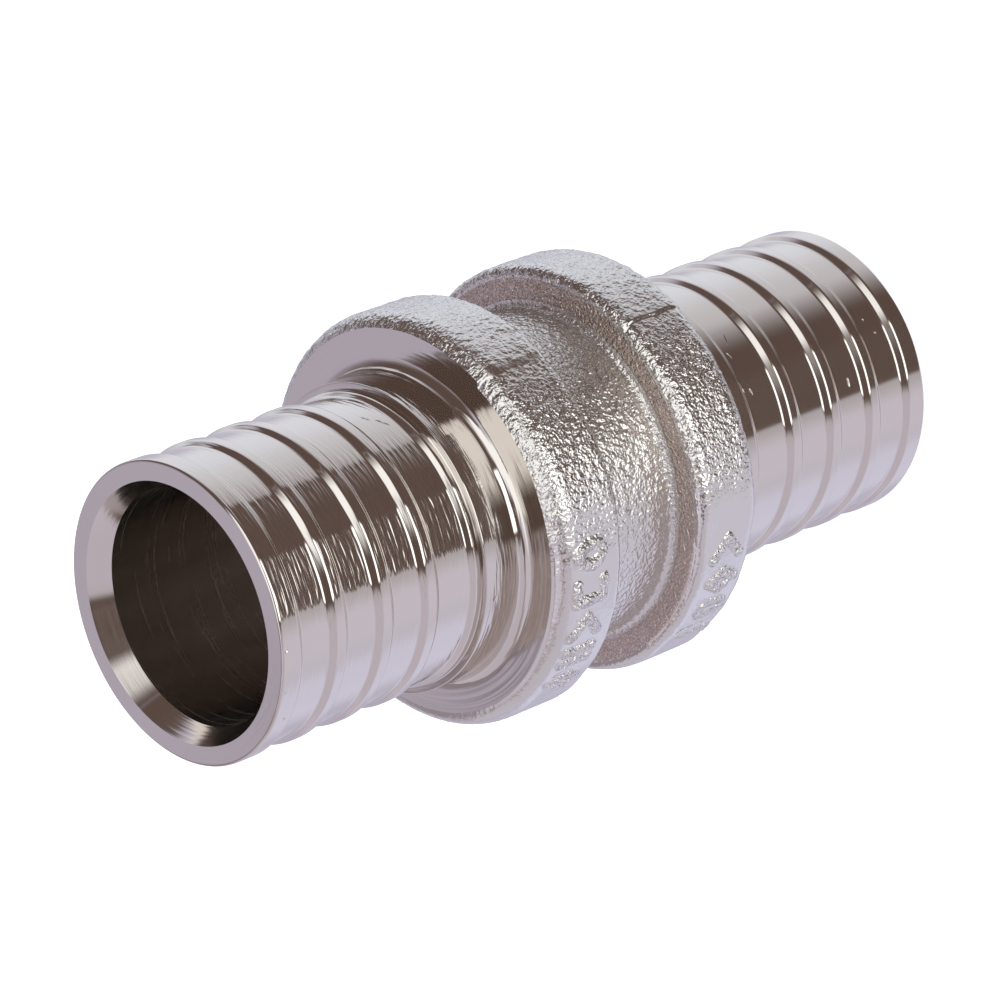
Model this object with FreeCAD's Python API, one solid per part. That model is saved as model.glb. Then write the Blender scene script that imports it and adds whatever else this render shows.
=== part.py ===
"""Straight coupling for 32 mm crosslinked polyethylene pipe, joined by sliding sleeves.

One hot-forged, machined and nickel-plated brass piece: two ribbed tails, two flanges with a
narrower waist between them, and a plain bore. It stands on the end face of one tail, with the
axis along +Z and the origin in the middle of that face. All sizes are in millimetres.
"""
import FreeCAD, Part
import math
import os

from FreeCAD import Vector

# Bore and mouths
bore_radius = 10.24
mouth_radius = 11.32
mouth_depth = 1.83

# Turned tails: a plain tip band and narrow ribs on a lower land
crest_radius = 13.10
rib_height = 0.45
tip_edge_round = 0.25
tip_band_length = 1.79
rib_flank_length = 0.80
rib_crest_width = 0.68
flank_angle = 40.0
first_rib_gap = 2.66
rib_pitch = 5.05
rib_count = 3

# Collar between the last rib and the flange: a low ring, then a shoulder
collar_gap = 3.31
ring_flank_length = 0.60
ring_rise = 0.35
ring_width = 0.52
ring_crown = 0.08
shoulder_rise = 0.55
shoulder_step_length = 0.22
shoulder_edge_round = 0.08
shoulder_length = 4.10
shoulder_root_fillet = 1.05

# Flanges: machined outer face, forged rim. The two die halves meet at the plane y = 0,
# and the half towards +Y stands a little prouder all round its rims.
flange_width = 7.38
face_radius = 16.75
rim_radius = 18.30
corner_length = 1.83
inner_edge_round = 1.10
die_half_step = 0.15
die_half_face_step = 0.45

# Forged waist between the flanges
waist_length = 9.10
waist_radius = 14.75
waist_fillet = 0.60

# Worked out from the sizes above
land_radius = crest_radius - rib_height
ring_radius = land_radius + ring_rise
shoulder_radius = ring_radius + ring_crown + shoulder_rise
full_turn = 360.0
half_turn = 180.0
axis_point = Vector(0, 0, 0)
axis_direction = Vector(0, 0, 1)


class Outline:
    """A half section drawn edge by edge: each point is a radius and a height along the axis."""

    def __init__(self, radius, height):
        self.here = Vector(radius, 0, height)
        self.start = self.here
        self.edges = []

    def line_to(self, radius, height):
        there = Vector(radius, 0, height)
        self.edges.append(Part.makeLine(self.here, there))
        self.here = there

    def up(self, length):
        self.line_to(self.here.x, self.here.z + length)

    def arc_to(self, radius, height, heading):
        """An arc that leaves along heading and ends at the given point."""
        there = Vector(radius, 0, height)
        middle = arc_middle(self.here, there, heading)
        self.edges.append(Part.Arc(self.here, middle, there).toShape())
        self.here = there

    def arc_in_to(self, radius, height, heading):
        """An arc that arrives at the given point from the side that heading points to."""
        there = Vector(radius, 0, height)
        middle = arc_middle(there, self.here, heading)
        self.edges.append(Part.Arc(self.here, middle, there).toShape())
        self.here = there

    def flank_to(self, radius, height):
        """A straight slope between two equal arcs, which leave and arrive parallel to the axis."""
        rise = radius - self.here.x
        length = height - self.here.z
        slope = math.radians(flank_angle)
        bend = (length * math.tan(slope) - abs(rise)) / (2 / math.cos(slope) - 2)
        bend_rise = math.copysign(bend * (1 - math.cos(slope)), rise)
        bend_length = bend * math.sin(slope)
        self.arc_to(self.here.x + bend_rise, self.here.z + bend_length, Vector(0, 0, 1))
        self.line_to(radius - bend_rise, height - bend_length)
        self.arc_in_to(radius, height, Vector(0, 0, -1))

    def close(self):
        self.edges.append(Part.makeLine(self.here, self.start))
        wire = Part.Wire(self.edges)
        return Part.Face(wire)


def arc_middle(begin, end, heading):
    """Middle point of the arc that leaves begin along heading and reaches end."""
    chord = end - begin
    span = chord.Length
    along = chord.normalize()
    half_angle = heading.getAngle(along) / 2
    bisector = (heading + along).normalize()
    return begin + bisector * (span / (2 * math.cos(half_angle)))


def draw_ribs(outline):
    """The tip band's inner flank and the narrow ribs, each followed by its stretch of land."""
    outline.flank_to(land_radius, outline.here.z + rib_flank_length)
    outline.up(first_rib_gap)
    land_between_ribs = rib_pitch - rib_crest_width - 2 * rib_flank_length
    for number in range(rib_count):
        if number > 0:
            outline.up(land_between_ribs)
        outline.flank_to(crest_radius, outline.here.z + rib_flank_length)
        outline.up(rib_crest_width)
        outline.flank_to(land_radius, outline.here.z + rib_flank_length)


def draw_collar(outline):
    """The low ring and the shoulder, down to the root of the flange's machined face."""
    outline.up(collar_gap)
    outline.flank_to(ring_radius, outline.here.z + ring_flank_length)
    outline.line_to(ring_radius + ring_crown, outline.here.z + ring_width)
    edge_radius = shoulder_radius - shoulder_edge_round
    outline.line_to(edge_radius, outline.here.z + shoulder_step_length)
    outline.line_to(shoulder_radius, outline.here.z + shoulder_edge_round)
    outline.up(shoulder_length - shoulder_root_fillet)
    face_height = outline.here.z + shoulder_root_fillet
    outline.arc_to(shoulder_radius + shoulder_root_fillet, face_height, Vector(0, 0, 1))


def draw_rim(outline, face_edge_radius, rim_edge_radius):
    """The flange from the edge of its machined face, over the rim, to the inner face."""
    face_height = outline.here.z
    outline.line_to(face_edge_radius, face_height)
    outline.arc_in_to(rim_edge_radius, face_height + corner_length, Vector(0, 0, -1))
    outline.up(flange_width - corner_length - inner_edge_round)
    inner_height = face_height + flange_width
    outline.arc_to(rim_edge_radius - inner_edge_round, inner_height, Vector(0, 0, 1))


def half_body():
    """The lower half of the piece, turned about the axis, and its flange's face height."""
    outline = Outline(bore_radius, mouth_depth)
    outline.line_to(mouth_radius, 0)
    outline.line_to(crest_radius - tip_edge_round, 0)
    outline.arc_to(crest_radius, tip_edge_round, Vector(1, 0, 0))
    outline.up(tip_band_length - tip_edge_round)
    draw_ribs(outline)
    draw_collar(outline)
    face_height = outline.here.z
    draw_rim(outline, face_radius, rim_radius)
    inner_height = outline.here.z
    outline.line_to(waist_radius + waist_fillet, inner_height)
    outline.arc_to(waist_radius, inner_height + waist_fillet, Vector(-1, 0, 0))
    middle_height = inner_height + waist_length / 2
    outline.line_to(waist_radius, middle_height)
    outline.line_to(bore_radius, middle_height)
    body = outline.close().revolve(axis_point, axis_direction, full_turn)
    return body, face_height, middle_height


def prouder_die_half(face_height):
    """The skin by which the die half towards +Y stands proud on one flange."""
    core_radius = (waist_radius + waist_fillet + face_radius) / 2
    outline = Outline(core_radius, face_height)
    draw_rim(outline, face_radius + die_half_face_step, rim_radius + die_half_step)
    outline.line_to(core_radius, outline.here.z)
    return outline.close().revolve(axis_point, axis_direction, half_turn)


def coupling_body():
    """Both halves, each with its prouder die half, joined at the middle of the waist."""
    body, face_height, middle_height = half_body()
    lower_half = body.fuse(prouder_die_half(face_height))
    upper_half = lower_half.mirror(Vector(0, 0, middle_height), axis_direction)
    return lower_half.fuse(upper_half).removeSplitter()


def main():
    os.makedirs("parts", exist_ok=True)
    body = coupling_body()
    print("solids", len(body.Solids), "valid", body.isValid(), "volume", round(body.Volume, 1))
    body.exportStep("parts/coupling_body.step")


main()
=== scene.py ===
import math

import bpy
import numpy as np
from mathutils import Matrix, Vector


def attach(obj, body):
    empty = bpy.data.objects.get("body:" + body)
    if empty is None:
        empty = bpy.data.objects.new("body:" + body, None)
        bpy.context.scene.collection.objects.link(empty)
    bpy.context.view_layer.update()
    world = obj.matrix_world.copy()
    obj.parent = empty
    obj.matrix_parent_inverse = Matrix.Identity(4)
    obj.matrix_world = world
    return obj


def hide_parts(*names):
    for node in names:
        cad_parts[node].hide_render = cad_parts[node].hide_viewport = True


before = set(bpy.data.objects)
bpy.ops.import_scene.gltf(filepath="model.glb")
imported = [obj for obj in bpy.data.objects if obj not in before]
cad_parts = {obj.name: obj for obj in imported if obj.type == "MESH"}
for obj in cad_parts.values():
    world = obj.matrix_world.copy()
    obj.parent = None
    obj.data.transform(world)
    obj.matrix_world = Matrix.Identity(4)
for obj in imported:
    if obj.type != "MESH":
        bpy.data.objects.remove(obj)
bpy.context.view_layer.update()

# Straight coupling for 32 mm pipe, forged in brass, turned and nickel plated. It stands on the
# end face of its lower tail with the axis along +Z. Lengths are in millimetres until the meshes
# are written; azimuths are in degrees, counted from +X towards +Y.
millimetre = 0.001
total_length = 76.78

# Bore and mouths
bore_radius = 10.24
mouth_radius = 11.32
mouth_depth = 1.83

# Turned tails
crest_radius = 13.10
rib_height = 0.45
tip_edge_round = 0.25
tip_band_length = 1.79
rib_flank_length = 0.80
rib_crest_width = 0.68
flank_angle = 40
first_rib_gap = 2.66
rib_pitch = 5.05
rib_count = 3
land_radius = crest_radius - rib_height

# Collar between the last rib and the flange. The ring is flat and its crown a small bevel, and
# the shoulder's step leans hardly at all: the reflections in the photo show them so.
collar_gap = 3.31
ring_flank_length = 0.60
ring_rise = 0.35
ring_width = 0.52
ring_crown = 0.08
shoulder_rise = 0.55
shoulder_step_length = 0.22
shoulder_step_lean = 0.02
shoulder_edge_round = 0.08
shoulder_length = 4.10
shoulder_root_fillet = 1.05
ring_radius = land_radius + ring_rise
shoulder_radius = ring_radius + ring_crown + shoulder_rise

# Flanges, with the step between the two die halves at the plane y = 0
flange_width = 7.38
face_radius = 16.75
rim_radius = 18.30
corner_length = 1.83
inner_edge_round = 1.10
die_half_step = 0.15
die_half_face_step = 0.45

# Forged waist
waist_length = 9.10
waist_radius = 14.75
waist_fillet = 0.60

face_height = total_length / 2 - waist_length / 2 - flange_width

# Parting line on the rims: how far it wavers and how long the bends are, half the width of its
# step, what the upper flange's rim adds to that from the given row of its corner on, and the
# strip beside the line in which the grain is flatter
parting_waver = 0.10
parting_bend = 1.3
parting_blur = 0.16
upper_parting_blur = 0.6
upper_blur_row = 6
parting_strip = (0.1, 0.7)
parting_flattening = 0.8

# Forged surface: the depth and the width of its bumps, and how far it all lies below the plain
# form
fine_grain = (0.055, 0.34)
coarse_grain = (0.020, 0.60)
slow_waves = (0.020, 2.6)
forged_sink = 0.050

# Underneath, the grain fades to a share of its depth and comes back, between these degrees from
# +X towards -Y
grain_fades = (43, 62)
grain_returns = (160, 178)
rim_grain_below = 0.25
inner_grain_below = 0.8

# Raised marks on the rims: which ones, the first one's azimuth and the row's height. They follow
# each other at the pitch, in degrees.
upper_marks = (("ring", "bracket", "chevron", "bars", "lozenge"), -56, 46.95)
lower_marks = (("chevron", "lozenge", "ring", "bar"), -70, 30.4)
mark_pitch = 10.5
mark_height = 0.27
mark_crumble = 0.22
mark_crumble_width = 0.48
mark_grain = 2.2
mark_grain_fade = 0.2
mark_stroke = 0.46
mark_bevel = 0.52
mark_bed = 0.20
mark_bed_edge = (1.5, 4.0)

# Nicks from handling: azimuth, height, radius, width, how many times longer, and the lean from
# the direction round the axis towards +Z
nick_depth = 0.08
near_nicks = ((-57.4, 76.4, crest_radius, 0.26, 1, 0), (-74.2, 76.4, crest_radius, 0.26, 1, 0),
              (-68.0, 53.7, shoulder_radius, 0.30, 1, 0), (-88.0, 75.6, crest_radius, 0.20, 1, 0),
              (12.6, 56.8, land_radius, 0.13, 6, 28), (17.8, 57.7, land_radius, 0.12, 4, 28),
              (60.0, 68.0, land_radius, 0.10, 5, 60))
far_nicks = ((-6.2, 19.7, land_radius, 0.07, 9, -22), (-13.1, 20.5, land_radius, 0.10, 4, 24),
             (-29.6, 20.2, land_radius, 0.12, 3, 9), (-28.5, 21.0, land_radius, 0.10, 3, 1),
             (-32.7, 16.2, land_radius, 0.20, 2, 60), (-17.3, 16.4, land_radius, 0.16, 1, 0),
             (-18.6, 4.3, land_radius, 0.14, 1, 0), (-25.3, 3.7, land_radius, 0.14, 1, 0),
             (-40.0, 8.8, land_radius, 0.16, 3, -3))
flange_nicks = ((-54.6, 49.62, 17.78, 0.42, 1, 0), (-61.0, 49.78, 17.63, 0.20, 2, 0),
                (-70.5, 49.77, 17.64, 0.20, 2, 0))

# Mesh density, and the width of the thin rows that keep the shading flat beside a bend
turned_columns = 480
forged_columns = 960
forged_spacing = 0.12
shading_margin = 0.03
flank_steps = 5
land_steps = 4
crest_steps = 2

# Reflectance of the nickel plating. The inner face's tint is darker and browner as painted shade
# for the recess between the flanges.
nickel_tint = (0.72, 0.68, 0.64)
forged_tint = (0.75, 0.735, 0.71)
inner_face_shaded_tint = (0.65, 0.565, 0.515)

# Turned surfaces: how much the highlights are drawn out, the quarter turn that lays them across
# the grooves, and the millimetres of section in one unit of the groove map
turned_anisotropy = 0.6
quarter_turn = 0.25
map_unit = 100

# Forged surfaces: how many bumps lie along a metre, and their detail
forged_bump_scale = 3400
forged_bump_detail = 1.5

# Stage
floor_radius = 2500
floor_grey = (0.85, 0.85, 0.85)
floor_lift = 0.60
# A dark glowing disc under the lower mouth: painted shade for the bore's wall to mirror
painted_shade_disc_height = -0.05
painted_shade_disc_grey = (0.13, 0.115, 0.112)
disc_corners = 48
white = (1, 1, 1)
room_light = 0.9

# Random numbers: the weights of a cell's three numbers and of the seed, and the factor that
# spreads their sine
cell_weights = (127.1, 311.7, 74.7)
seed_weight = 19.3
scatter_spread = 43758.5453

# Headings of a section's arcs, in degrees from the axis towards the outside
heading_up = 0
heading_out = 90
heading_down = 180
heading_in = -90

# Keeps divisions away from zero
tiny = 1e-9


class Section:
    """A half section drawn edge by edge and sampled into rows of radius and height."""

    def __init__(self, radius, height):
        self.rows = [(radius, height)]
        self.corners = []
        self.edge_starts = {}

    def name_edge(self, name):
        self.edge_starts[name] = len(self.rows) - 1

    def line_to(self, radius, height, steps=1, corner=False):
        start_radius, start_height = self.rows[-1]
        for step in range(1, steps + 1):
            share = step / steps
            self.rows.append((start_radius + (radius - start_radius) * share,
                              start_height + (height - start_height) * share))
        if corner:
            self.corners.append(len(self.rows) - 1)

    def up(self, length, steps=1, corner=False):
        radius, height = self.rows[-1]
        self.line_to(radius, height + length, steps, corner)

    def band(self, length, steps):
        """A straight stretch with a thin row at either end, which keeps its shading flat."""
        self.up(shading_margin)
        self.up(length - 2 * shading_margin, steps)
        self.up(shading_margin)

    def arc_to(self, radius, height, heading, steps):
        """An arc that leaves along heading and ends at the given point."""
        start = self.rows[-1]
        self.rows += arc_rows(start, (radius, height), heading, steps)[1:]

    def arc_in_to(self, radius, height, heading, steps):
        """An arc that arrives at the given point from the side that heading points to."""
        start = self.rows[-1]
        self.rows += arc_rows((radius, height), start, heading, steps)[::-1][1:]

    def flank_to(self, radius, length):
        """A straight slope between two equal arcs, which leave and arrive parallel to the axis."""
        start_radius, start_height = self.rows[-1]
        height = start_height + length
        rise = radius - start_radius
        slope = math.radians(flank_angle)
        bend = (length * math.tan(slope) - abs(rise)) / (2 / math.cos(slope) - 2)
        bend_rise = math.copysign(bend * (1 - math.cos(slope)), rise)
        bend_length = bend * math.sin(slope)
        self.arc_to(start_radius + bend_rise, start_height + bend_length, heading_up, flank_steps)
        self.line_to(radius - bend_rise, height - bend_length)
        self.arc_in_to(radius, height, heading_down, flank_steps)


def arc_rows(begin, end, heading, steps):
    """Points on the arc from begin to end that leaves begin along heading."""
    chord_radius = end[0] - begin[0]
    chord_height = end[1] - begin[1]
    chord = math.hypot(chord_radius, chord_height)
    start_angle = math.radians(heading)
    turn = math.atan2(chord_radius, chord_height) - start_angle
    turn = math.atan2(math.sin(turn), math.cos(turn))
    rows = []
    for step in range(steps + 1):
        share = step / steps
        reach = chord * math.sin(turn * share) / math.sin(turn)
        angle = start_angle + turn * share
        rows.append((begin[0] + reach * math.sin(angle), begin[1] + reach * math.cos(angle)))
    return rows


def draw_ribs(section):
    """The tip band's inner flank and the narrow ribs, each followed by its stretch of land."""
    section.flank_to(land_radius, rib_flank_length)
    section.band(first_rib_gap, land_steps)
    land_between_ribs = rib_pitch - rib_crest_width - 2 * rib_flank_length
    for number in range(rib_count):
        if number > 0:
            section.band(land_between_ribs, land_steps)
        section.flank_to(crest_radius, rib_flank_length)
        section.band(rib_crest_width, crest_steps)
        section.flank_to(land_radius, rib_flank_length)


def draw_collar(section):
    """The low ring and the shoulder, down to the root of the flange's machined face."""
    section.band(collar_gap, land_steps)
    section.flank_to(ring_radius, ring_flank_length)
    section.up(ring_width - ring_crown, steps=3, corner=True)
    height = section.rows[-1][1] + ring_crown
    section.line_to(ring_radius + ring_crown, height, corner=True)
    height += shoulder_step_lean
    section.line_to(shoulder_radius - shoulder_edge_round, height)
    height += shoulder_edge_round
    section.arc_in_to(shoulder_radius, height, heading_down, steps=3)
    straight = shoulder_length - shoulder_root_fillet + shoulder_step_length - shoulder_step_lean
    section.band(straight, steps=3)
    root_radius = shoulder_radius + shoulder_root_fillet
    height = section.rows[-1][1] + shoulder_root_fillet
    section.arc_to(root_radius, height, heading_up, steps=14)
    section.line_to(root_radius + shading_margin, height)


def tail_section():
    """From the bore's edge over the end face, the ribs and the collar to the flange's root."""
    section = Section(bore_radius, mouth_depth)
    section.line_to(mouth_radius, 0, steps=6, corner=True)
    section.name_edge("face")
    section.line_to(crest_radius - tip_edge_round - shading_margin, 0, steps=3)
    section.line_to(crest_radius - tip_edge_round, 0)
    section.name_edge("tip")
    section.arc_to(crest_radius, tip_edge_round, heading_out, steps=5)
    section.band(tip_band_length - tip_edge_round, crest_steps)
    draw_ribs(section)
    draw_collar(section)
    return section


def forged_steps(length):
    """How many rows of the forged mesh lie along a length."""
    return round(length / forged_spacing)


def flange_section(step, face_step):
    """From the collar's root over the machined face, the rim and the inner face."""
    corner_arc = 2.5
    inner_edge_arc = 1.7
    root_radius = shoulder_radius + shoulder_root_fillet
    rim = rim_radius + step
    section = Section(root_radius + shading_margin, face_height)
    section.line_to(face_radius + face_step, face_height, steps=6, corner=True)
    section.name_edge("forged")
    corner_end = face_height + corner_length
    section.arc_in_to(rim, corner_end, heading_down, forged_steps(corner_arc))
    rim_length = flange_width - corner_length - inner_edge_round
    section.name_edge("rim")
    section.up(rim_length, forged_steps(rim_length))
    section.name_edge("inner_edge")
    inner_height = face_height + flange_width
    inner_edge_steps = forged_steps(inner_edge_arc)
    section.arc_to(rim - inner_edge_round, inner_height, heading_up, inner_edge_steps)
    section.name_edge("inner")
    inner_width = rim_radius - inner_edge_round - waist_radius - waist_fillet
    inner_end = waist_radius + waist_fillet + shading_margin
    section.line_to(inner_end, inner_height, forged_steps(inner_width))
    return section


def waist_section():
    """From one flange's inner face to the other's, through the two fillets."""
    low = total_length / 2 - waist_length / 2
    high = total_length / 2 + waist_length / 2
    section = Section(waist_radius + waist_fillet + shading_margin, low)
    section.line_to(waist_radius + waist_fillet, low)
    section.arc_to(waist_radius, low + waist_fillet, heading_in, steps=6)
    straight = waist_length - 2 * waist_fillet
    section.up(straight, forged_steps(straight))
    section.arc_to(waist_radius + waist_fillet, high, heading_up, steps=6)
    section.line_to(waist_radius + waist_fillet + shading_margin, high)
    return section


def bore_section():
    """From one mouth's edge to the other's."""
    section = Section(bore_radius, mouth_depth)
    section.up(total_length - 2 * mouth_depth, steps=24)
    return section


def smooth_step(value, low, high):
    """Rises smoothly from 0 at low to 1 at high."""
    share = np.clip((value - low) / (high - low), 0, 1)
    return share * share * (3 - 2 * share)


def scatter(cell, seed):
    """A repeatable random number from 0 to 1 for each whole-number cell."""
    mixed = sum(cell[..., axis] * weight for axis, weight in enumerate(cell_weights))
    mixed = np.sin(mixed + seed * seed_weight)
    return np.modf(np.abs(mixed) * scatter_spread)[0]


def soft_noise(points, width, seed):
    """Smooth noise from -1 to 1 with bumps about as wide as given."""
    scaled = points / width
    cell = np.floor(scaled)
    share = smooth_step(scaled - cell, 0, 1)
    total = np.zeros(points.shape[:-1])
    for corner in np.ndindex(2, 2, 2):
        offset = np.array(corner)
        weight = np.prod(np.where(offset, share, 1 - share), axis=-1)
        total += weight * scatter(cell + offset, seed)
    return total * 2 - 1


class Shell:
    """Rows and columns of points round the axis, ready to be roughened and written as a mesh.

    A section is drawn from the lower end. An upper shell is its mirror image, and a shell that
    faces inwards shows its faces to the axis.
    """

    def __init__(self, section, columns, upper=False, inwards=False):
        rows = np.array(section.rows)
        self.section = section
        self.upper = upper
        self.inwards = inwards
        self.azimuth = np.arange(columns) * 2 * math.pi / columns
        self.radius = np.repeat(rows[:, :1], columns, axis=1)
        self.height = np.repeat(rows[:, 1:], columns, axis=1)
        if upper:
            self.height = total_length - self.height
        self.grain = np.ones(self.radius.shape)

    def points(self):
        return np.stack((self.radius * np.cos(self.azimuth), self.radius * np.sin(self.azimuth),
                         self.height), axis=-1)

    def normals(self):
        """Outward directions of the sections, as a radial and an axial share."""
        along_radius = np.gradient(self.radius, axis=0)
        along_height = np.gradient(self.height, axis=0)
        size = np.hypot(along_radius, along_height) + tiny
        side = -1 if self.upper else 1
        return along_height / size * side, -along_radius / size * side

    def push(self, distance):
        """Moves each point outwards, or inwards where the distance is negative."""
        radial, axial = self.normals()
        self.radius = self.radius + radial * distance
        self.height = self.height + axial * distance

    def finish_from(self, *edges):
        """Which material each row of faces has: the next one from every named edge on."""
        rows = np.arange(len(self.section.rows) - 1)
        return sum((rows >= self.section.edge_starts[edge]).astype(int) for edge in edges)

    def faces(self):
        """The four corners of each face between two rows and two columns."""
        grid = np.arange(self.radius.size).reshape(self.radius.shape)
        near = grid[:-1]
        far = grid[1:]
        faces = np.stack((near, np.roll(near, -1, 1), np.roll(far, -1, 1), far), axis=-1)
        if self.upper != self.inwards:
            faces = faces[..., ::-1]
        return faces.reshape(-1, 4)

    def write(self, name, materials, finish_rows=None):
        """Makes the mesh and its piece."""
        faces = self.faces()
        column_count = self.radius.shape[1]
        mesh = bpy.data.meshes.new(name)
        mesh.vertices.add(self.radius.size)
        mesh.vertices.foreach_set("co", (self.points() * millimetre).reshape(-1))
        mesh.loops.add(faces.size)
        mesh.loops.foreach_set("vertex_index", faces.reshape(-1).astype(np.int32))
        mesh.polygons.add(len(faces))
        mesh.polygons.foreach_set("loop_start", np.arange(len(faces), dtype=np.int32) * 4)
        if finish_rows is not None:
            finish = np.repeat(finish_rows, column_count).astype(np.int32)
            mesh.polygons.foreach_set("material_index", finish)
        for material in materials:
            mesh.materials.append(material)
        mesh.update(calc_edges=True)
        mesh.shade_smooth()
        self.crease(mesh, column_count)
        self.lay_out(mesh, faces, column_count)
        grain = mesh.attributes.new("grain", "FLOAT", "POINT")
        grain.data.foreach_set("value", self.grain.reshape(-1))
        piece = bpy.data.objects.new(name, mesh)
        bpy.context.collection.objects.link(piece)
        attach(piece, "root")
        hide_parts("coupling_body")

    def crease(self, mesh, column_count):
        """Marks the rings at the section's corners as sharp edges."""
        ends = np.zeros(len(mesh.edges) * 2, dtype=np.int32)
        mesh.edges.foreach_get("vertices", ends)
        ring = ends.reshape(-1, 2) // column_count
        sharp = (ring[:, 0] == ring[:, 1]) & np.isin(ring[:, 0], self.section.corners)
        mesh.edges.foreach_set("use_edge_sharp", sharp)

    def lay_out(self, mesh, faces, column_count):
        """A map with the azimuth across and the distance along the section upwards."""
        rows = np.array(self.section.rows)
        along = np.concatenate(([0], np.cumsum(np.hypot(*np.diff(rows, axis=0).T))))
        column = faces % column_count
        row = faces // column_count
        wraps = (column.max(axis=1) - column.min(axis=1)) > column_count / 2
        column = column + np.where(wraps[:, None] & (column == 0), column_count, 0)
        across = column / column_count
        upwards = along[row] / map_unit
        layout = mesh.uv_layers.new(name="turning")
        layout.data.foreach_set("uv", np.stack((across, upwards), axis=-1).reshape(-1))


def proud_side(shell, blur):
    """From 0 on the die half towards -Y to 1 on the prouder one towards +Y."""
    sideways = shell.radius * np.sin(shell.azimuth)
    waver = parting_waver * soft_noise(shell.points(), parting_bend, seed=5)
    return smooth_step((sideways + waver) / blur, -1, 1)


def underside(shell, share):
    """From 1 on the upper side to the given share of the grain underneath, towards -Y."""
    turn = -np.degrees(np.arctan2(np.sin(shell.azimuth), np.cos(shell.azimuth)))
    below = smooth_step(turn, *grain_fades) * (1 - smooth_step(turn, *grain_returns))
    return 1 + (share - 1) * below


def forged_relief(shell):
    """Blasted grain with slow waves below it. It never rises above the plain form."""
    points = shell.points()
    layers = []
    for seed, (depth, width) in enumerate((fine_grain, coarse_grain, slow_waves), start=1):
        layers.append(depth * soft_noise(points, width, seed))
    fine, coarse, waves = layers
    return np.minimum((fine + coarse) * shell.grain + waves - forged_sink, 0)


def strokes(*points):
    """The strokes of a line drawn through the given points."""
    return list(zip(points[:-1], points[1:]))


def ring_strokes():
    """An upright oval."""
    sides = 12
    half_width = 0.85
    half_height = 1.4
    turns = np.linspace(0, 2 * math.pi, sides + 1)
    return strokes(*[(half_width * math.cos(turn), half_height * math.sin(turn)) for turn in turns])


def mark_strokes():
    """Each mark as strokes between points, a distance round the rim and one along the axis."""
    foot = -1.5
    top = 1.5
    return {
        "ring": ring_strokes(),
        "bars": strokes((-0.7, foot), (-0.7, top)) + strokes((0.7, foot), (0.7, top)),
        "chevron": strokes((-0.9, foot), (0.9, 0), (-0.9, top)),
        "bracket": strokes((0.8, foot), (-0.8, foot), (-0.8, top), (0.8, top)),
        "lozenge": strokes((0, foot), (0.9, 0), (0, top), (-0.9, 0), (0, foot)),
        "bar": strokes((0, foot), (0, top)),
    }


def stroke_distance(across, along, stroke):
    """How far each point of the rim lies from one stroke."""
    (start_across, start_along), (end_across, end_along) = stroke
    step_across = end_across - start_across
    step_along = end_along - start_along
    share = (across - start_across) * step_across + (along - start_along) * step_along
    share = np.clip(share / (step_across ** 2 + step_along ** 2), 0, 1)
    return np.hypot(across - start_across - share * step_across,
                    along - start_along - share * step_along)


def raise_marks(shell, names, first_azimuth, middle_height):
    """Raised, crumbled marks in a row round the rim, from the given azimuth on towards -X."""
    drawn = mark_strokes()
    nearest = np.full(shell.radius.shape, math.inf)
    for number, name in enumerate(names):
        turn = shell.azimuth - math.radians(first_azimuth - number * mark_pitch)
        across = np.arctan2(np.sin(turn), np.cos(turn)) * rim_radius
        along = shell.height - middle_height
        for stroke in drawn[name]:
            nearest = np.minimum(nearest, stroke_distance(across, along, stroke))
    raised = 1 - smooth_step(nearest, mark_stroke - mark_bevel / 2, mark_stroke + mark_bevel / 2)
    beside = 1 - smooth_step(nearest, mark_stroke, mark_stroke + mark_grain_fade)
    bed = mark_bed * (1 - smooth_step(nearest, *mark_bed_edge))
    crumbled = soft_noise(shell.points(), mark_crumble_width, seed=7)
    shell.grain = shell.grain + (mark_grain - shell.grain) * beside
    return (mark_height + mark_crumble * crumbled) * raised - bed


def keep_inside(shell):
    """Holds the roughened surface within the plain model's box."""
    smallest_share = 0.1
    sideways = np.sin(shell.azimuth)
    limit = np.where(sideways > 0, rim_radius + die_half_step, rim_radius)
    shell.radius = np.minimum(shell.radius, limit / np.maximum(np.abs(sideways), smallest_share))


def thin_grain(shell, inner):
    """Makes a flange smoother underneath, and its rim smoother beside the parting line."""
    rim_share = underside(shell, rim_grain_below) * (1 - inner)
    inner_share = underside(shell, inner_grain_below) * inner
    from_line = np.abs(shell.radius * np.sin(shell.azimuth))
    beside_step = (1 - smooth_step(from_line, *parting_strip)) * (1 - inner)
    shell.grain = shell.grain * (rim_share + inner_share) * (1 - parting_flattening * beside_step)


def flange_shell(upper):
    """One flange with the step between the die halves, the forged surface and the marks."""
    shell = Shell(flange_section(0, 0), forged_columns, upper)
    proud = Shell(flange_section(die_half_step, die_half_face_step), forged_columns, upper)
    starts = shell.section.edge_starts
    rows = np.arange(len(shell.section.rows))[:, None]
    blur = parting_blur
    if upper:
        blur_start = starts["forged"] + upper_blur_row
        blur += upper_parting_blur * smooth_step(rows, blur_start, starts["rim"])
    share = proud_side(shell, blur)
    shell.radius = shell.radius + (proud.radius - shell.radius) * share
    shell.height = shell.height + (proud.height - shell.height) * share
    inner = smooth_step(rows, starts["inner"] - 1, starts["inner"] + 1)
    thin_grain(shell, inner)
    relief = forged_relief(shell)
    raised = raise_marks(shell, *(upper_marks if upper else lower_marks))
    forged = smooth_step(rows, starts["forged"], starts["forged"] + 2)
    shell.push((relief + raised * (1 - inner)) * forged)
    keep_inside(shell)
    return shell


def waist_shell():
    """The waist with its forged surface, a little smoother underneath."""
    shell = Shell(waist_section(), forged_columns)
    shell.grain = shell.grain * underside(shell, inner_grain_below)
    shell.push(forged_relief(shell))
    return shell


def point_round(radius, angle, height):
    """A point in metres, from millimetres and radians round the axis."""
    return Vector((radius * math.cos(angle), radius * math.sin(angle), height)) * millimetre


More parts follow.
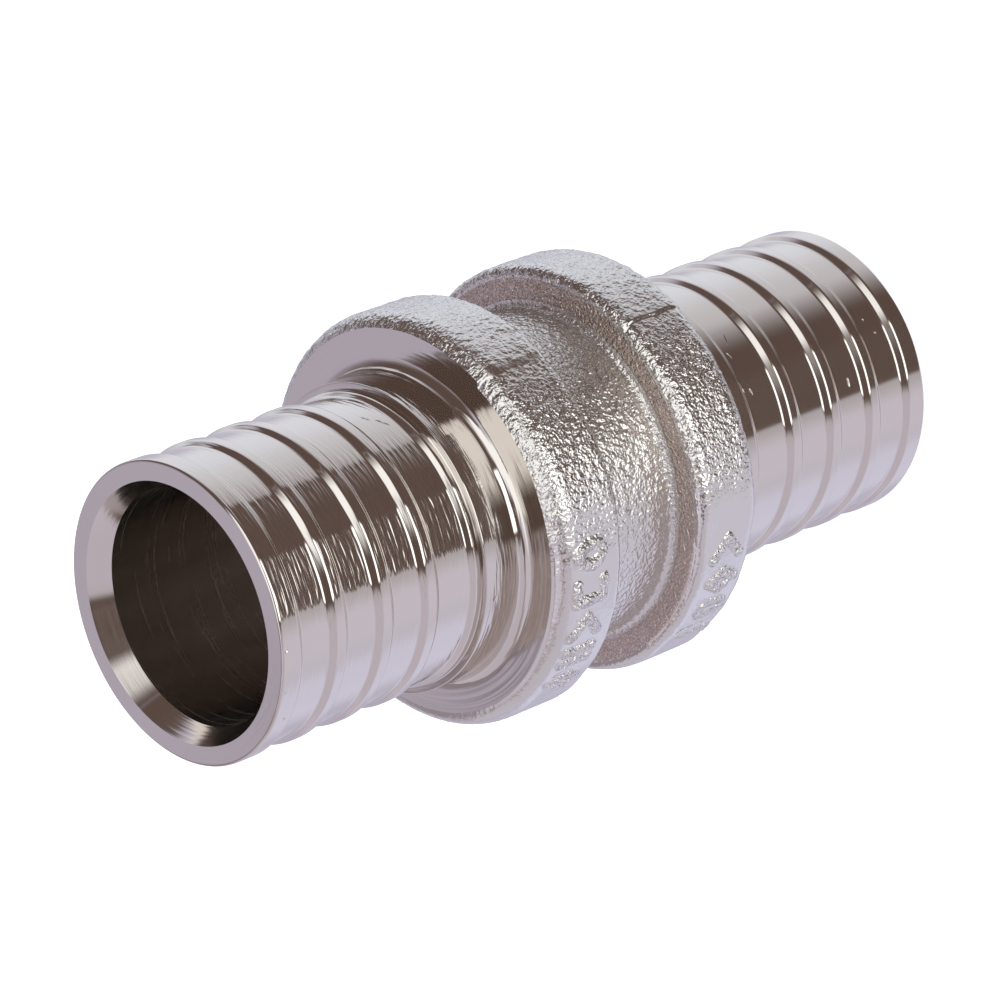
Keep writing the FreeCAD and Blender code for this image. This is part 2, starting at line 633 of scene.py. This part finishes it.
def node(tree, kind, *values, **settings):
    """A node with its settings, and its first inputs linked to sockets or set to values."""
    made = tree.nodes.new(kind)
    for key, setting in settings.items():
        setattr(made, key, setting)
    for number, value in enumerate(values):
        if isinstance(value, bpy.types.NodeSocket):
            tree.links.new(value, made.inputs[number])
        else:
            made.inputs[number].default_value = value
    return made


def combine(tree, operation, *values):
    """The result of one operation on numbers."""
    return node(tree, "ShaderNodeMath", *values, operation=operation).outputs[0]


def combine_vectors(tree, operation, *values):
    """The result of one operation on vectors: a vector, or for a length its value."""
    made = node(tree, "ShaderNodeVectorMath", *values, operation=operation)
    return made.outputs["Value" if operation == "LENGTH" else "Vector"]


def ramp(tree, value, low, high):
    """Rises smoothly from 0 at low to 1 at high."""
    edge = node(tree, "ShaderNodeMapRange", value, low, high, interpolation_type="SMOOTHSTEP")
    return edge.outputs[0]


def nickel(name, roughness, anisotropic, tint):
    """A bright metal shader and its tree, ready for relief."""
    material = bpy.data.materials.new(name)
    material.use_nodes = True
    tree = material.node_tree
    shader = tree.nodes["Principled BSDF"]
    shader.inputs["Base Color"].default_value = (*tint, 1)
    shader.inputs["Metallic"].default_value = 1
    shader.inputs["Roughness"].default_value = roughness
    shader.inputs["Anisotropic"].default_value = anisotropic
    return material, tree, shader


def turning_position(tree):
    """Coordinates that change slowly round the axis and quickly along the section."""
    place = node(tree, "ShaderNodeTexCoord")
    flat = combine_vectors(tree, "MULTIPLY", place.outputs["Object"], (1, 1, 0))
    direction = combine_vectors(tree, "NORMALIZE", flat)
    section = node(tree, "ShaderNodeSeparateXYZ", place.outputs["UV"])
    lift = node(tree, "ShaderNodeCombineXYZ", 0, 0, section.outputs["Y"])
    return combine_vectors(tree, "ADD", direction, lift.outputs[0])


def bumps(tree, position, scale, detail):
    """Noise as a height from 0 to 1, with its bumps at the given scale."""
    noise = node(tree, "ShaderNodeTexNoise")
    noise.inputs["Scale"].default_value = scale
    noise.inputs["Detail"].default_value = detail
    tree.links.new(position, noise.inputs["Vector"])
    return noise.outputs["Fac"]


def grooves(tree, position, turns, across, detail):
    """Noise drawn out round the axis, as a turning tool leaves it."""
    stretched = combine_vectors(tree, "MULTIPLY", position, (turns, turns, across))
    return bumps(tree, stretched, 1, detail)


def chain_bump(tree, shader, pattern, depth):
    """Adds one more layer of relief to the shader's normal, as deep as given, in metres."""
    bump = node(tree, "ShaderNodeBump")
    bump.inputs["Strength"].default_value = 1
    if isinstance(depth, bpy.types.NodeSocket):
        tree.links.new(depth, bump.inputs["Distance"])
    else:
        bump.inputs["Distance"].default_value = depth
    tree.links.new(pattern, bump.inputs["Height"])
    earlier = shader.inputs["Normal"].links
    if earlier:
        tree.links.new(earlier[0].from_socket, bump.inputs["Normal"])
    tree.links.new(bump.outputs[0], shader.inputs["Normal"])


def turned_material(name, roughness, fine_depth, coarse_depth, coarse_turns=5, coarse_across=330):
    """Metal with fine and coarse grooves round the axis, as deep in millimetres as given."""
    material, tree, shader = nickel(name, roughness, turned_anisotropy, nickel_tint)
    shader.inputs["Anisotropic Rotation"].default_value = quarter_turn
    position = turning_position(tree)
    fine = grooves(tree, position, turns=1.5, across=700, detail=3)
    chain_bump(tree, shader, fine, fine_depth * millimetre)
    coarse = grooves(tree, position, coarse_turns, coarse_across, detail=1)
    chain_bump(tree, shader, coarse, coarse_depth * millimetre)
    tangent = node(tree, "ShaderNodeTangent", direction_type="RADIAL", axis="Z")
    tree.links.new(tangent.outputs[0], shader.inputs["Tangent"])
    return material


def score(material, turns, across, threshold, fade, roughness):
    """Adds rough scored lines round the axis where the groove pattern passes the threshold."""
    tree = material.node_tree
    shader = tree.nodes["Principled BSDF"]
    pattern = grooves(tree, turning_position(tree), turns, across, detail=2)
    plain = shader.inputs["Roughness"].default_value
    rough = node(tree, "ShaderNodeMapRange", pattern, threshold, threshold + fade, plain, roughness)
    tree.links.new(rough.outputs[0], shader.inputs["Roughness"])


def nick(material, nicks):
    """Adds small dents, each at its place, as wide as given and drawn out along its lean."""
    tree = material.node_tree
    place = node(tree, "ShaderNodeTexCoord").outputs["Object"]
    deepest = None
    for azimuth, height, radius, width, stretch, lean in nicks:
        turn = math.radians(azimuth)
        tilt = math.radians(lean)
        along = Vector((-math.sin(turn) * math.cos(tilt), math.cos(turn) * math.cos(tilt),
                        math.sin(tilt)))
        away = combine_vectors(tree, "SUBTRACT", place, point_round(radius, turn, height))
        lengthwise = combine_vectors(tree, "PROJECT", away, along)
        squeeze = (1 / stretch - 1,) * 3
        squeezed = combine_vectors(tree, "MULTIPLY_ADD", lengthwise, squeeze, away)
        dent = ramp(tree, combine_vectors(tree, "LENGTH", squeezed), 0, width * millimetre)
        deepest = dent if deepest is None else combine(tree, "MINIMUM", deepest, dent)
    chain_bump(tree, tree.nodes["Principled BSDF"], deepest, nick_depth * millimetre)


def forged_material(name, roughness, tint, grain_depth):
    """Blasted metal, whose fine grain is as deep as given times the grain that the mesh holds."""
    material, tree, shader = nickel(name, roughness, 0, tint)
    place = node(tree, "ShaderNodeTexCoord").outputs["Object"]
    grain = node(tree, "ShaderNodeAttribute", attribute_name="grain")
    depth = combine(tree, "MULTIPLY", grain.outputs["Fac"], grain_depth * millimetre)
    chain_bump(tree, shader, bumps(tree, place, forged_bump_scale, forged_bump_detail), depth)
    return material


def end_materials():
    """The countersunk mouth and the end face."""
    countersunk = turned_material("countersunk_nickel", roughness=0.11, fine_depth=0.0020,
                                  coarse_depth=0.008, coarse_turns=2)
    faced = turned_material("faced_nickel", roughness=0.14, fine_depth=0.0015, coarse_depth=0.006)
    return countersunk, faced


def lathe_materials():
    """The outside of the lower tail, and that of the upper one with its coarser grooves."""
    lower = turned_material("turned_nickel", roughness=0.11, fine_depth=0.0010, coarse_depth=0.001)
    nick(lower, far_nicks)
    upper = turned_material("coarse_turned_nickel", roughness=0.08, fine_depth=0.0015,
                            coarse_depth=0.022)
    nick(upper, near_nicks)
    return lower, upper


def flange_materials():
    """The machined face, the rim, the smoother inner edge and the inner face, darkened and browned
    with painted shade.
    """
    faced = turned_material("flange_faced_nickel", roughness=0.10, fine_depth=0.0015,
                            coarse_depth=0.022, coarse_turns=1, coarse_across=220)
    rim = forged_material("forged_nickel", roughness=0.19, tint=forged_tint, grain_depth=0.14)
    nick(rim, flange_nicks)
    inner_edge = forged_material("forged_edge_nickel", roughness=0.11, tint=forged_tint,
                                 grain_depth=0.14)
    # The inner face's darker, browner tint paints the shade and dark reflections of the recess
    # between the flanges
    inner = forged_material("forged_inner_shaded_nickel", roughness=0.08, tint=inner_face_shaded_tint,
                            grain_depth=0.30)
    return faced, rim, inner_edge, inner


def bore_material():
    """The bore's turned wall with its scored lines."""
    material = turned_material("bored_nickel", roughness=0.16, fine_depth=0.0030,
                               coarse_depth=0.006, coarse_turns=1.5)
    score(material, turns=0.8, across=520, threshold=0.62, fade=0.06, roughness=0.33)
    return material


def build_body():
    """Two tails, two flanges, the waist and the bore, each as one piece."""
    countersunk, faced = end_materials()
    lower_lathe, upper_lathe = lathe_materials()
    flange_faced, rim, inner_edge, inner = flange_materials()
    for upper, place, lathe in ((False, "lower", lower_lathe), (True, "upper", upper_lathe)):
        tail = Shell(tail_section(), turned_columns, upper)
        tail.write(place + "_tail", [countersunk, faced, lathe], tail.finish_from("face", "tip"))
        flange = flange_shell(upper)
        flange.write(place + "_flange", [flange_faced, rim, inner_edge, inner],
                     flange.finish_from("forged", "inner_edge", "inner"))
    waist_shell().write("waist", [rim])
    bore = Shell(bore_section(), turned_columns, inwards=True)
    bore.write("bore", [bore_material()])


def light_path_mix(tree, ray, first, second):
    """Shows the second shader to the named kind of ray and the first to all others."""
    path = node(tree, "ShaderNodeLightPath")
    return node(tree, "ShaderNodeMixShader", path.outputs[ray], first, second).outputs[0]


def glow(tree, colour, strength):
    return node(tree, "ShaderNodeEmission", (*colour, 1), strength).outputs[0]


def bare_material(name):
    """A material with an empty tree, and the input that waits for its surface."""
    material = bpy.data.materials.new(name)
    material.use_nodes = True
    tree = material.node_tree
    tree.nodes.clear()
    output = node(tree, "ShaderNodeOutputMaterial")
    return material, tree, output.inputs["Surface"]


def floor_material():
    """Diffuse grey that the camera sees lifted to white."""
    material, tree, surface = bare_material("white_floor")
    grey = node(tree, "ShaderNodeBsdfDiffuse", (*floor_grey, 1)).outputs[0]
    lifted = node(tree, "ShaderNodeAddShader", grey, glow(tree, white, floor_lift)).outputs[0]
    tree.links.new(light_path_mix(tree, "Is Camera Ray", grey, lifted), surface)
    return material


def painted_shade_disc_material():
    """A dark glowing disc that the bore's wall mirrors below its lower mouth, painted shade in
    place of the shaded floor there.
    """
    material, tree, surface = bare_material("painted_shade_card")
    tree.links.new(glow(tree, painted_shade_disc_grey, 1), surface)
    return material


def stage_disc(name, radius, height, material):
    """A flat disc that belongs to the stage and not to the object."""
    mesh = bpy.data.meshes.new(name)
    points = []
    for step in range(disc_corners):
        points.append(point_round(radius, 2 * math.pi * step / disc_corners, height))
    mesh.from_pydata(points, [], [tuple(range(len(points)))])
    mesh.materials.append(material)
    disc = bpy.data.objects.new(name, mesh)
    bpy.context.collection.objects.link(disc)
    return disc


def build_floor():
    """A white floor that keeps the shadow. The metal mirrors the studio in its place, and the bore
    mirrors a dark glowing disc under its lower mouth, which is painted shade.
    """
    floor = stage_disc("floor", floor_radius, 0, floor_material())
    floor.visible_glossy = False
    # The disc glows dark: painted shade that the bore mirrors below its lower mouth
    stage_disc("painted_shade_disc", bore_radius, painted_shade_disc_height, painted_shade_disc_material())


class StudioSky:
    """What surrounds the object, painted by azimuth and elevation in degrees."""

    def __init__(self, tree, colour):
        self.tree = tree
        place = node(tree, "ShaderNodeTexCoord")
        split = node(tree, "ShaderNodeSeparateXYZ", place.outputs["Generated"])
        turn = combine(tree, "ARCTAN2", split.outputs["Y"], split.outputs["X"])
        rise = combine(tree, "ARCSINE", split.outputs["Z"])
        self.azimuth = combine(tree, "MULTIPLY", turn, math.degrees(1))
        self.elevation = combine(tree, "MULTIPLY", rise, math.degrees(1))
        start = node(tree, "ShaderNodeRGB")
        start.outputs[0].default_value = (*colour, 1)
        self.colour = start.outputs[0]

    def band(self, value, limits, fades):
        """From 0 to 1 at the low limit and back at the high one."""
        low, high = limits
        low_fade, high_fade = fades
        rising = ramp(self.tree, value, low - low_fade / 2, low + low_fade / 2)
        falling = ramp(self.tree, value, high + high_fade / 2, high - high_fade / 2)
        return combine(self.tree, "MULTIPLY", rising, falling)

    def paint(self, colour, azimuths, elevations, side_fades=(4, 4), level_fades=(4, 4)):
        """Adds a patch whose edges fade over the given widths, half of each outside it."""
        sides = self.band(self.azimuth, azimuths, side_fades)
        levels = self.band(self.elevation, elevations, level_fades)
        mix = node(self.tree, "ShaderNodeMix", data_type="RGBA")
        mask = combine(self.tree, "MULTIPLY", sides, levels)
        self.tree.links.new(mask, mix.inputs["Factor"])
        self.tree.links.new(self.colour, mix.inputs["A"])
        mix.inputs["B"].default_value = (*colour, 1)
        self.colour = mix.outputs["Result"]


def paint_studio(tree):
    """The room that the photo's metal mirrors. Later patches cover earlier ones."""
    back_wall = (0.54, 0.50, 0.61)
    back_wall_shade = (0.22, 0.20, 0.24)
    violet_table = (0.58, 0.555, 0.68)
    lilac_table = (0.78, 0.77, 0.95)
    left_table = (0.73, 0.70, 0.80)
    left_wall = (0.70, 0.65, 0.75)
    left_wall_shade = (0.63, 0.58, 0.66)
    left_upper_wall = (0.42, 0.35, 0.35)
    table_shade = (0.56, 0.53, 0.56)
    warm_table = (0.70, 0.69, 0.73)
    grey_table = (0.89, 0.93, 1.03)
    back_corner = (0.33, 0.275, 0.305)
    corner_shade = (0.33, 0.31, 0.32)
    dark_room = (0.130, 0.090, 0.077)
    brown_stand = (0.140, 0.097, 0.083)
    panel_white = (2.0, 2.0, 2.0)
    ceiling_white = (1.3, 1.3, 1.3)

    # Past the back, straight down and straight up, so that no fade shows there
    back_left = -200
    back_right = 200
    down = -100
    up = 100
    all_round = (back_left, back_right)

    # Table and walls, from behind the object round its left side
    sky = StudioSky(tree, back_wall)
    sky.paint(violet_table, all_round, (down, -8), level_fades=(4, 16))
    sky.paint(lilac_table, (-165, -112), (down, -8), side_fades=(26, 30), level_fades=(4, 16))
    sky.paint(left_table, (-112, -62), (down, 0), side_fades=(30, 3), level_fades=(4, 10))
    sky.paint(left_wall, (back_left, -62), (0, up), side_fades=(4, 3), level_fades=(10, 4))
    sky.paint(left_wall_shade, (back_left, -62), (6, 38), side_fades=(4, 3), level_fades=(12, 6))
    sky.paint(left_upper_wall, (back_left, -62), (38, 47), side_fades=(4, 3), level_fades=(6, 6))
    sky.paint(dark_room, (-88, -62), (41, 56), side_fades=(14, 3), level_fades=(5, 8))
    sky.paint(table_shade, (-71, -60), (down, 40), side_fades=(18, 3))

    # Table on the right and towards the camera, and the corner at the back
    sky.paint(warm_table, (-30, 112), (down, 0), side_fades=(10, 30), level_fades=(4, 16))
    sky.paint(grey_table, (66, 112), (down, 0), side_fades=(50, 30), level_fades=(4, 16))
    sky.paint(back_wall_shade, (152, back_right), (38, 72), side_fades=(5, 4), level_fades=(3, 6))
    sky.paint(back_corner, (158, back_right), (0, 72), side_fades=(12, 4), level_fades=(20, 6))
    sky.paint(corner_shade, (92, 130), (-1, 9), side_fades=(14, 20), level_fades=(10, 4))

    # Dark room on the side of the camera, with a brown stand low down and a white panel before it
    sky.paint(dark_room, (30, 118), (7.4, 66), side_fades=(4, 56), level_fades=(3.5, 6))
    sky.paint(dark_room, (-61.5, 30), (-40, 5), side_fades=(3, 4))
    sky.paint(dark_room, (-67, 30), (5, 72), side_fades=(8, 4))
    sky.paint(dark_room, (-60.5, 24), (down, -38.5), side_fades=(3, 38), level_fades=(4, 5))
    sky.paint(brown_stand, (-61, 33), (-38.5, -24), side_fades=(3, 44), level_fades=(5, 10))
    sky.paint(brown_stand, (-61, 48), (-24, 12), side_fades=(3, 40), level_fades=(10, 6))
    sky.paint(panel_white, (-59, -18), (-33, 18), side_fades=(2, 3), level_fades=(3, 5))

    # Ceiling, down to where the highlights in the photo begin
    sky.paint(ceiling_white, (-31, 30), (35, up), side_fades=(26, 3), level_fades=(10, 6))
    sky.paint(ceiling_white, (-62, 34), (50, up), side_fades=(16, 6), level_fades=(12, 6))
    sky.paint(ceiling_white, (-11, 21), (21, 45), side_fades=(16, 16), level_fades=(22, 6))
    sky.paint(ceiling_white, all_round, (74, up), level_fades=(14, 6))
    return sky.colour


def background(tree, colour, strength):
    return node(tree, "ShaderNodeBackground", colour, strength).outputs[0]


def build_world():
    """White light on the floor, the painted studio in the metal and white for the camera."""
    world = bpy.data.worlds.new("studio")
    bpy.context.scene.world = world
    world.use_nodes = True
    tree = world.node_tree
    tree.nodes.clear()
    plain = background(tree, (*white, 1), room_light)
    mirrored = background(tree, paint_studio(tree), 1)
    behind = background(tree, (*white, 1), 1)
    to_metal = light_path_mix(tree, "Is Glossy Ray", plain, mirrored)
    to_camera = light_path_mix(tree, "Is Camera Ray", to_metal, behind)
    node(tree, "ShaderNodeOutputWorld", to_camera)


def build_camera():
    """The camera that was fitted to the photo's outline and edges."""
    place = Vector((297.95, -179.03, 329.15)) * millimetre
    forward = Vector((-0.66015, 0.39479, -0.63901))
    upwards = Vector((0.67517, 0.68467, -0.27451))
    camera = bpy.data.objects.new("camera", bpy.data.cameras.new("camera"))
    bpy.context.collection.objects.link(camera)
    camera.data.sensor_width = 36
    camera.data.lens = 189.4
    camera.data.clip_start = 0.05
    camera.data.clip_end = 10
    camera.location = place
    level = forward.to_track_quat("-Z", "Y")
    level_up = level @ Vector((0, 1, 0))
    roll = level_up.rotation_difference(upwards)
    camera.rotation_mode = "QUATERNION"
    camera.rotation_quaternion = roll @ level
    bpy.context.scene.camera = camera


build_body()
build_floor()
build_world()
build_camera()
bpy.context.scene.view_settings.view_transform = "Standard"
bpy.context.scene.cycles.glossy_bounces = 8
